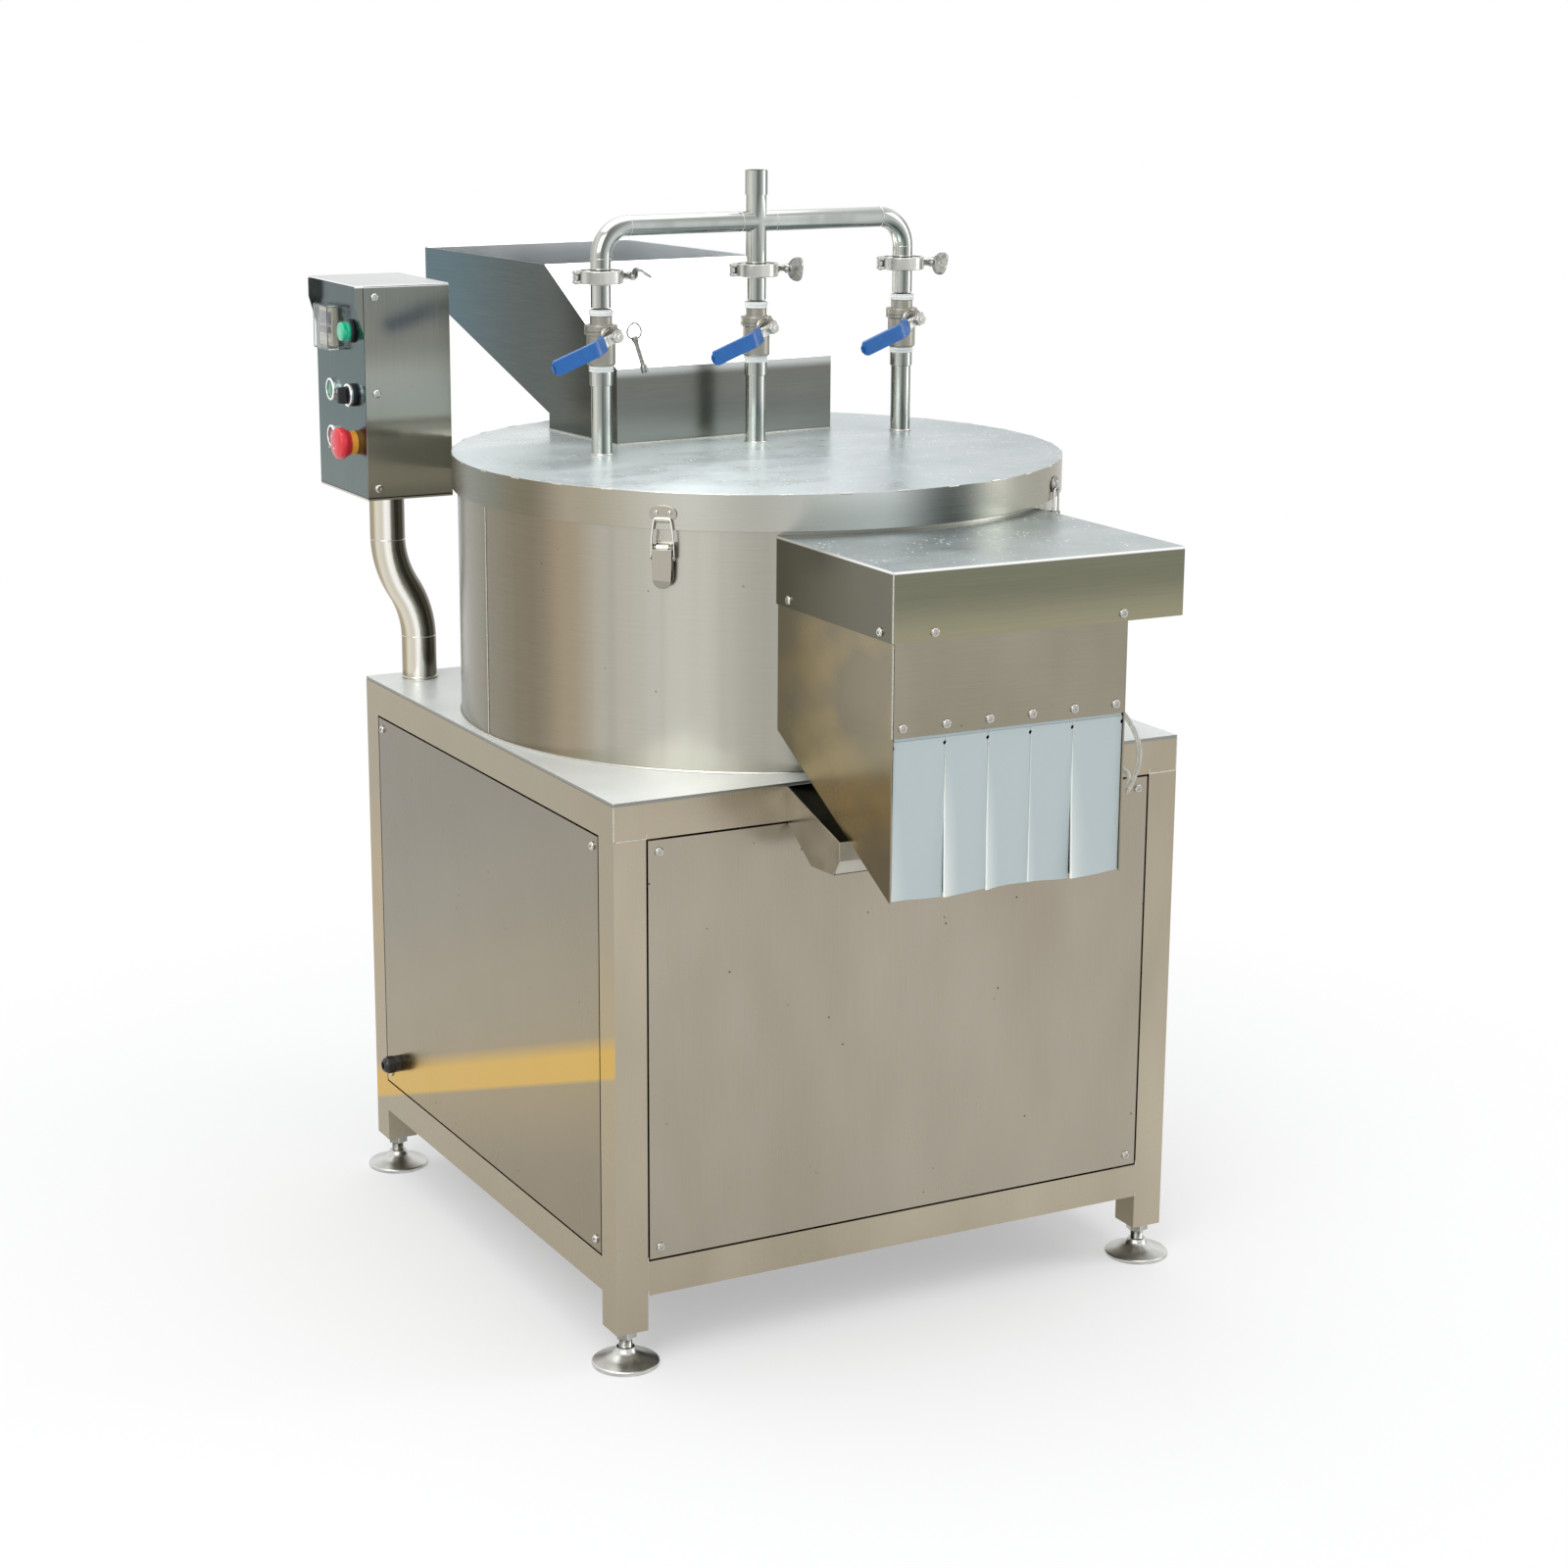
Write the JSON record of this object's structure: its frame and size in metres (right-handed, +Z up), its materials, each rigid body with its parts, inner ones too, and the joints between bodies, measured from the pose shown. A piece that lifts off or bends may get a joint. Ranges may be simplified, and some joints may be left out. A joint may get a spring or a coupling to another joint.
{
  "type": "commercial potato peeler",
  "caption": "Free-standing stainless drum peeler: steel cabinet, round drum with spray pipework and feed hopper on its lid, discharge chute in front, control box on a bent tube.",
  "frame": {"origin": "bottom centre of the whole machine's outline, without the air hoses, on the floor", "axes": "+Z up; -Y towards the discharge chute (front); -X towards the operator's panel and the mains gland"},
  "size_m": [0.8458, 1.2534, 1.3418],
  "materials": {
    "brushed_stainless": "brushed",
    "cabinet_sheet": "brushed",
    "drum_sheet": "brushed",
    "lid_sheet": "satin",
    "polished_pipe": "polished",
    "cast_valve": "cast, matte",
    "machined_steel": "machined",
    "screw_steel": "polished",
    "grit_lining": "coarse grit",
    "curtain_sheet": "translucent, soft",
    "belt_rubber": "matte",
    "motor_paint": "semi-gloss paint",
    "hose_tube": "translucent",
    "blue_grip_lever": "steel lever with dipped blue vinyl grip",
    "green_plastic": "moulded",
    "red_plastic": "moulded",
    "stop_plastic": "moulded",
    "black_plastic": "moulded",
    "black_nylon": "moulded",
    "timer_plastic": "moulded",
    "clear_plastic": "clear moulded cover",
    "cast_iron_grey": "machined"
  },
  "bodies": {
    "cabinet": {"cabinet_frame": "cabinet_sheet", "top_plate": "cabinet_sheet", "front_panel": "cabinet_sheet", "rear_panel": "cabinet_sheet", "left_panel": "cabinet_sheet", "right_panel": "cabinet_sheet", "button_head_screws": "screw_steel", "levelling_feet": "machined_steel", "drum_shell": "drum_sheet", "drum_lining": "grit_lining", "bearing_housing": "cast_iron_grey", "bearings_and_seal": "machined_steel", "motor_bracket": "machined_steel", "motor": "motor_paint", "drive_belts": "belt_rubber", "chute_body": "brushed_stainless", "chute_cover": "brushed_stainless", "curtain_band": "curtain_sheet", "waste_spout": "brushed_stainless", "air_cylinder": "machined_steel", "air_hose_1": "hose_tube", "air_hose_2": "hose_tube", "control_box": "brushed_stainless", "box_stand": "brushed_stainless", "cable_gland": "black_nylon", "timer": "timer_plastic", "panel_fittings": "machined_steel", "latch_bases": "brushed_stainless"},
    "disc": {"abrasive_disc": "grit_lining", "disc_shaft": "machined_steel"},
    "motor_drive": {"motor_pulley": "cast_iron_grey"},
    "door": {"discharge_door": "brushed_stainless"},
    "lid": {"lid": "lid_sheet", "latch_keepers": "brushed_stainless", "hopper": "brushed_stainless", "spray_pipework": "polished_pipe", "pipe_clamps": "brushed_stainless", "valve_bodies": "cast_valve", "panel_key": "brushed_stainless"},
    "curtain_flap_1": {"curtain_flap_1": "curtain_sheet"},
    "curtain_flap_2": {"curtain_flap_2": "curtain_sheet"},
    "curtain_flap_3": {"curtain_flap_3": "curtain_sheet"},
    "curtain_flap_4": {"curtain_flap_4": "curtain_sheet"},
    "curtain_flap_5": {"curtain_flap_5": "curtain_sheet"},
    "latch_lever_1": {"latch_lever_1": "brushed_stainless"},
    "latch_bail_1": {"latch_bail_1": "brushed_stainless"},
    "latch_lever_2": {"latch_lever_2": "brushed_stainless"},
    "latch_bail_2": {"latch_bail_2": "brushed_stainless"},
    "latch_lever_3": {"latch_lever_3": "brushed_stainless"},
    "latch_bail_3": {"latch_bail_3": "brushed_stainless"},
    "latch_lever_4": {"latch_lever_4": "brushed_stainless"},
    "latch_bail_4": {"latch_bail_4": "brushed_stainless"},
    "valve_lever_1": {"valve_lever_1": "blue_grip_lever"},
    "valve_lever_2": {"valve_lever_2": "blue_grip_lever"},
    "valve_lever_3": {"valve_lever_3": "blue_grip_lever"},
    "start_button": {"start_button": "green_plastic"},
    "stop_button": {"stop_button": "red_plastic"},
    "emergency_stop": {"emergency_stop": "stop_plastic"},
    "selector_knob": {"selector_knob": "black_plastic"},
    "timer_cover": {"timer_cover": "clear_plastic"}
  },
  "joints": [
    {"name": "disc_spin", "type": "hinge", "parent": "cabinet", "child": "disc", "pos_m": [0.02395, -0.02221, 0.68], "axis": [0, 0, 1], "continuous": true},
    {"name": "motor_spin", "type": "hinge", "parent": "cabinet", "child": "motor_drive", "pos_m": [0.02395, 0.21279, 0.34], "axis": [0, 0, 1], "continuous": true},
    {"name": "door_lift", "type": "slide", "parent": "cabinet", "child": "door", "axis": [0, 0, 1], "range_m": [0, 0.1]},
    {"name": "lid_lift", "type": "slide", "parent": "cabinet", "child": "lid", "axis": [0, 0, 1], "range_m": [0, 0.05]},
    {"name": "flap_1_swing", "type": "hinge", "parent": "cabinet", "child": "curtain_flap_1", "pos_m": [-0.08605, -0.61971, 0.7707], "axis": [-1, 0, 0], "range_deg": [0, 60], "stiffness_Nm_per_rad": 0.05},
    {"name": "flap_2_swing", "type": "hinge", "parent": "cabinet", "child": "curtain_flap_2", "pos_m": [-0.03105, -0.61971, 0.7707], "axis": [-1, 0, 0], "range_deg": [0, 60], "stiffness_Nm_per_rad": 0.05},
    {"name": "flap_3_swing", "type": "hinge", "parent": "cabinet", "child": "curtain_flap_3", "pos_m": [0.02395, -0.61971, 0.7707], "axis": [-1, 0, 0], "range_deg": [0, 60], "stiffness_Nm_per_rad": 0.05},
    {"name": "flap_4_swing", "type": "hinge", "parent": "cabinet", "child": "curtain_flap_4", "pos_m": [0.07895, -0.61971, 0.7707], "axis": [-1, 0, 0], "range_deg": [0, 60], "stiffness_Nm_per_rad": 0.05},
    {"name": "flap_5_swing", "type": "hinge", "parent": "cabinet", "child": "curtain_flap_5", "pos_m": [0.13395, -0.61971, 0.7707], "axis": [-1, 0, 0], "range_deg": [0, 60], "stiffness_Nm_per_rad": 0.05},
    {"name": "latch_1_throw", "type": "hinge", "parent": "cabinet", "child": "latch_lever_1", "pos_m": [-0.24002, -0.29556, 0.942], "axis": [-0.7193, 0.6947, 0], "range_deg": [0, 80]},
    {"name": "latch_1_bail", "type": "hinge", "parent": "latch_lever_1", "child": "latch_bail_1", "pos_m": [-0.24002, -0.29556, 0.93], "axis": [0.7193, -0.6947, 0], "range_deg": [0, 160]},
    {"name": "latch_2_throw", "type": "hinge", "parent": "cabinet", "child": "latch_lever_2", "pos_m": [0.28792, -0.29556, 0.942], "axis": [-0.7193, -0.6947, 0], "range_deg": [0, 80]},
    {"name": "latch_2_bail", "type": "hinge", "parent": "latch_lever_2", "child": "latch_bail_2", "pos_m": [0.28792, -0.29556, 0.93], "axis": [0.7193, 0.6947, 0], "range_deg": [0, 160]},
    {"name": "latch_3_throw", "type": "hinge", "parent": "cabinet", "child": "latch_lever_3", "pos_m": [0.21395, 0.30688, 0.942], "axis": [0.866, -0.5, 0], "range_deg": [0, 80]},
    {"name": "latch_3_bail", "type": "hinge", "parent": "latch_lever_3", "child": "latch_bail_3", "pos_m": [0.21395, 0.30688, 0.93], "axis": [-0.866, 0.5, 0], "range_deg": [0, 160]},
    {"name": "latch_4_throw", "type": "hinge", "parent": "cabinet", "child": "latch_lever_4", "pos_m": [-0.16605, 0.30688, 0.942], "axis": [0.866, 0.5, 0], "range_deg": [0, 80]},
    {"name": "latch_4_bail", "type": "hinge", "parent": "latch_lever_4", "child": "latch_bail_4", "pos_m": [-0.16605, 0.30688, 0.93], "axis": [-0.866, -0.5, 0], "range_deg": [0, 160]},
    {"name": "valve_1_turn", "type": "hinge", "parent": "lid", "child": "valve_lever_1", "pos_m": [-0.17012, 0.01602, 1.1508], "axis": [0.0872, -0.9962, 0], "range_deg": [-19.5, 70.5]},
    {"name": "valve_2_turn", "type": "hinge", "parent": "lid", "child": "valve_lever_2", "pos_m": [0.05203, 0.03545, 1.1508], "axis": [0.0872, -0.9962, 0], "range_deg": [-19.5, 70.5]},
    {"name": "valve_3_turn", "type": "hinge", "parent": "lid", "child": "valve_lever_3", "pos_m": [0.27418, 0.05489, 1.1508], "axis": [0.0872, -0.9962, 0], "range_deg": [-19.5, 70.5]},
    {"name": "start_press", "type": "slide", "parent": "cabinet", "child": "start_button", "axis": [1, 0, 0], "range_m": [0, 0.004], "stiffness_N_per_m": 600},
    {"name": "stop_press", "type": "slide", "parent": "cabinet", "child": "stop_button", "axis": [1, 0, 0], "range_m": [0, 0.004], "stiffness_N_per_m": 600},
    {"name": "emergency_stop_press", "type": "slide", "parent": "cabinet", "child": "emergency_stop", "axis": [1, 0, 0], "range_m": [0, 0.006], "stiffness_N_per_m": 800},
    {"name": "selector_turn", "type": "hinge", "parent": "cabinet", "child": "selector_knob", "pos_m": [-0.39165, 0.28049, 1.06], "axis": [1, 0, 0], "range_deg": [0, 90]},
    {"name": "timer_cover_swing", "type": "hinge", "parent": "cabinet", "child": "timer_cover", "pos_m": [-0.39195, 0.35149, 1.168], "axis": [0, 1, 0], "range_deg": [0, 90]}
  ],
  "couplings": [
    {"joint": "motor_spin", "follows": "disc_spin", "ratio": 2.8},
    {"joint": "latch_1_throw", "follows": "lid_lift", "rad_per_m": 27.9},
    {"joint": "latch_1_bail", "follows": "lid_lift", "rad_per_m": 55.8},
    {"joint": "latch_2_throw", "follows": "lid_lift", "rad_per_m": 27.9},
    {"joint": "latch_2_bail", "follows": "lid_lift", "rad_per_m": 55.8},
    {"joint": "latch_3_throw", "follows": "lid_lift", "rad_per_m": 27.9},
    {"joint": "latch_3_bail", "follows": "lid_lift", "rad_per_m": 55.8},
    {"joint": "latch_4_throw", "follows": "lid_lift", "rad_per_m": 27.9},
    {"joint": "latch_4_bail", "follows": "lid_lift", "rad_per_m": 55.8}
  ]
}
